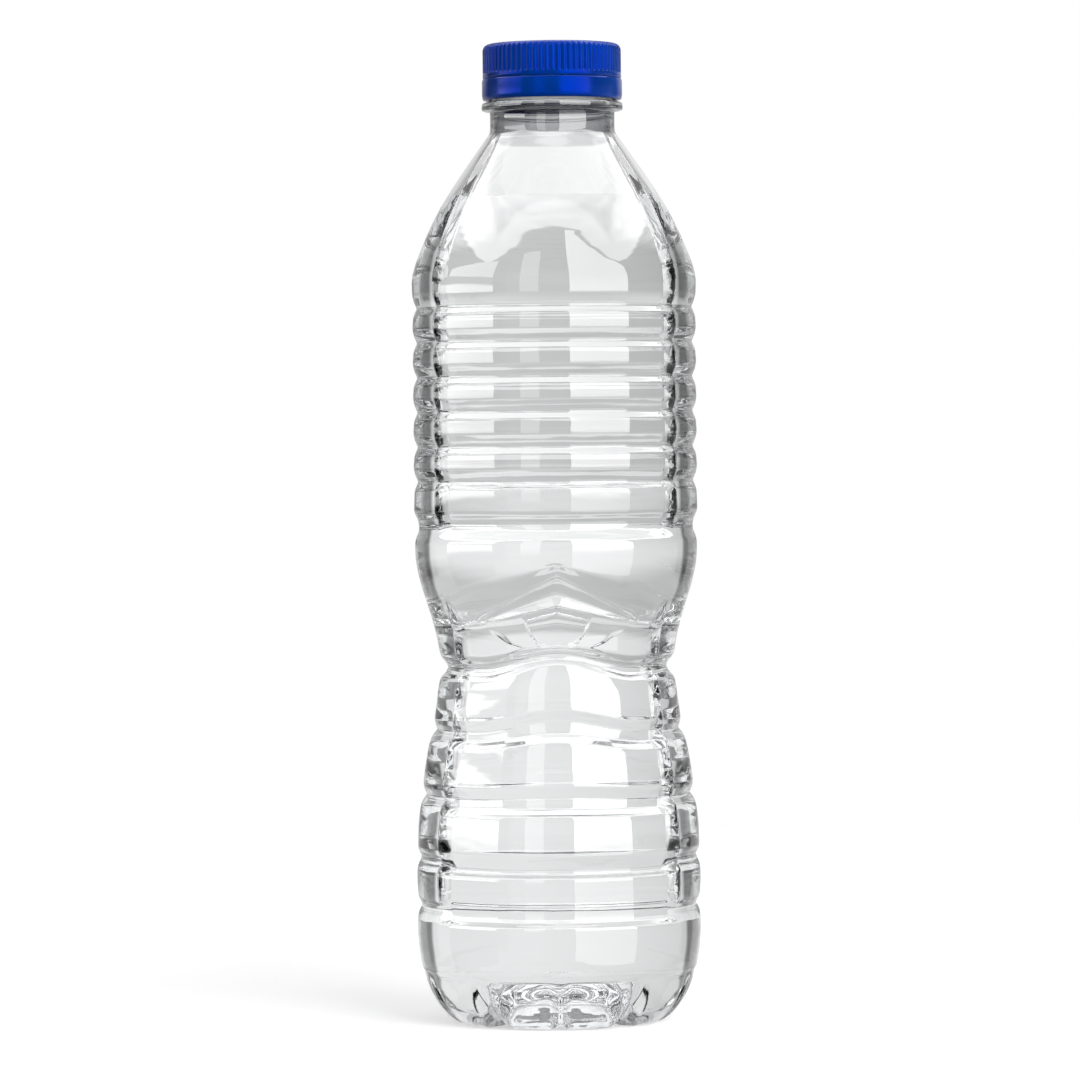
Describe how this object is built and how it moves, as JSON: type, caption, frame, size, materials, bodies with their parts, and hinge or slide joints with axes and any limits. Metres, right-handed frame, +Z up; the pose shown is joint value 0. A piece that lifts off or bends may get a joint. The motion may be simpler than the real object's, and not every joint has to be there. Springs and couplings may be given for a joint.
{
  "type": "filled plastic water bottle",
  "caption": "Clear ribbed plastic bottle with a waisted grip and a footed base, full of water and closed by a blue fluted screw cap over its tamper band.",
  "frame": {"origin": "on the standing plane, under the bottle's axis", "axes": "+Z up along the bottle's axis, -Y towards the front, where one grip has its middle"},
  "size_m": [0.063, 0.063, 0.2168],
  "materials": {
    "clear_pet": "clear blown plastic",
    "water": "clear still water",
    "blue_plastic": "translucent moulded blue",
    "liner": "soft off-white"
  },
  "bodies": {
    "bottle": {"bottle": "clear_pet", "water": "water", "tamper_band": "blue_plastic"},
    "liner": {"cap_liner": "liner"},
    "cap": {"screw_cap": "blue_plastic"}
  },
  "joints": [
    {"name": "cap_lift", "type": "slide", "parent": "bottle", "child": "liner", "axis": [0, 0, 1], "range_m": [0, 0.00525]},
    {"name": "cap_turn", "type": "hinge", "parent": "liner", "child": "cap", "pos_m": [0, 0, 0.2093], "axis": [0, 0, 1], "range_deg": [0, 630]}
  ],
  "couplings": [
    {"joint": "cap_lift", "follows": "cap_turn", "m_per_rad": 0.00047746}
  ]
}
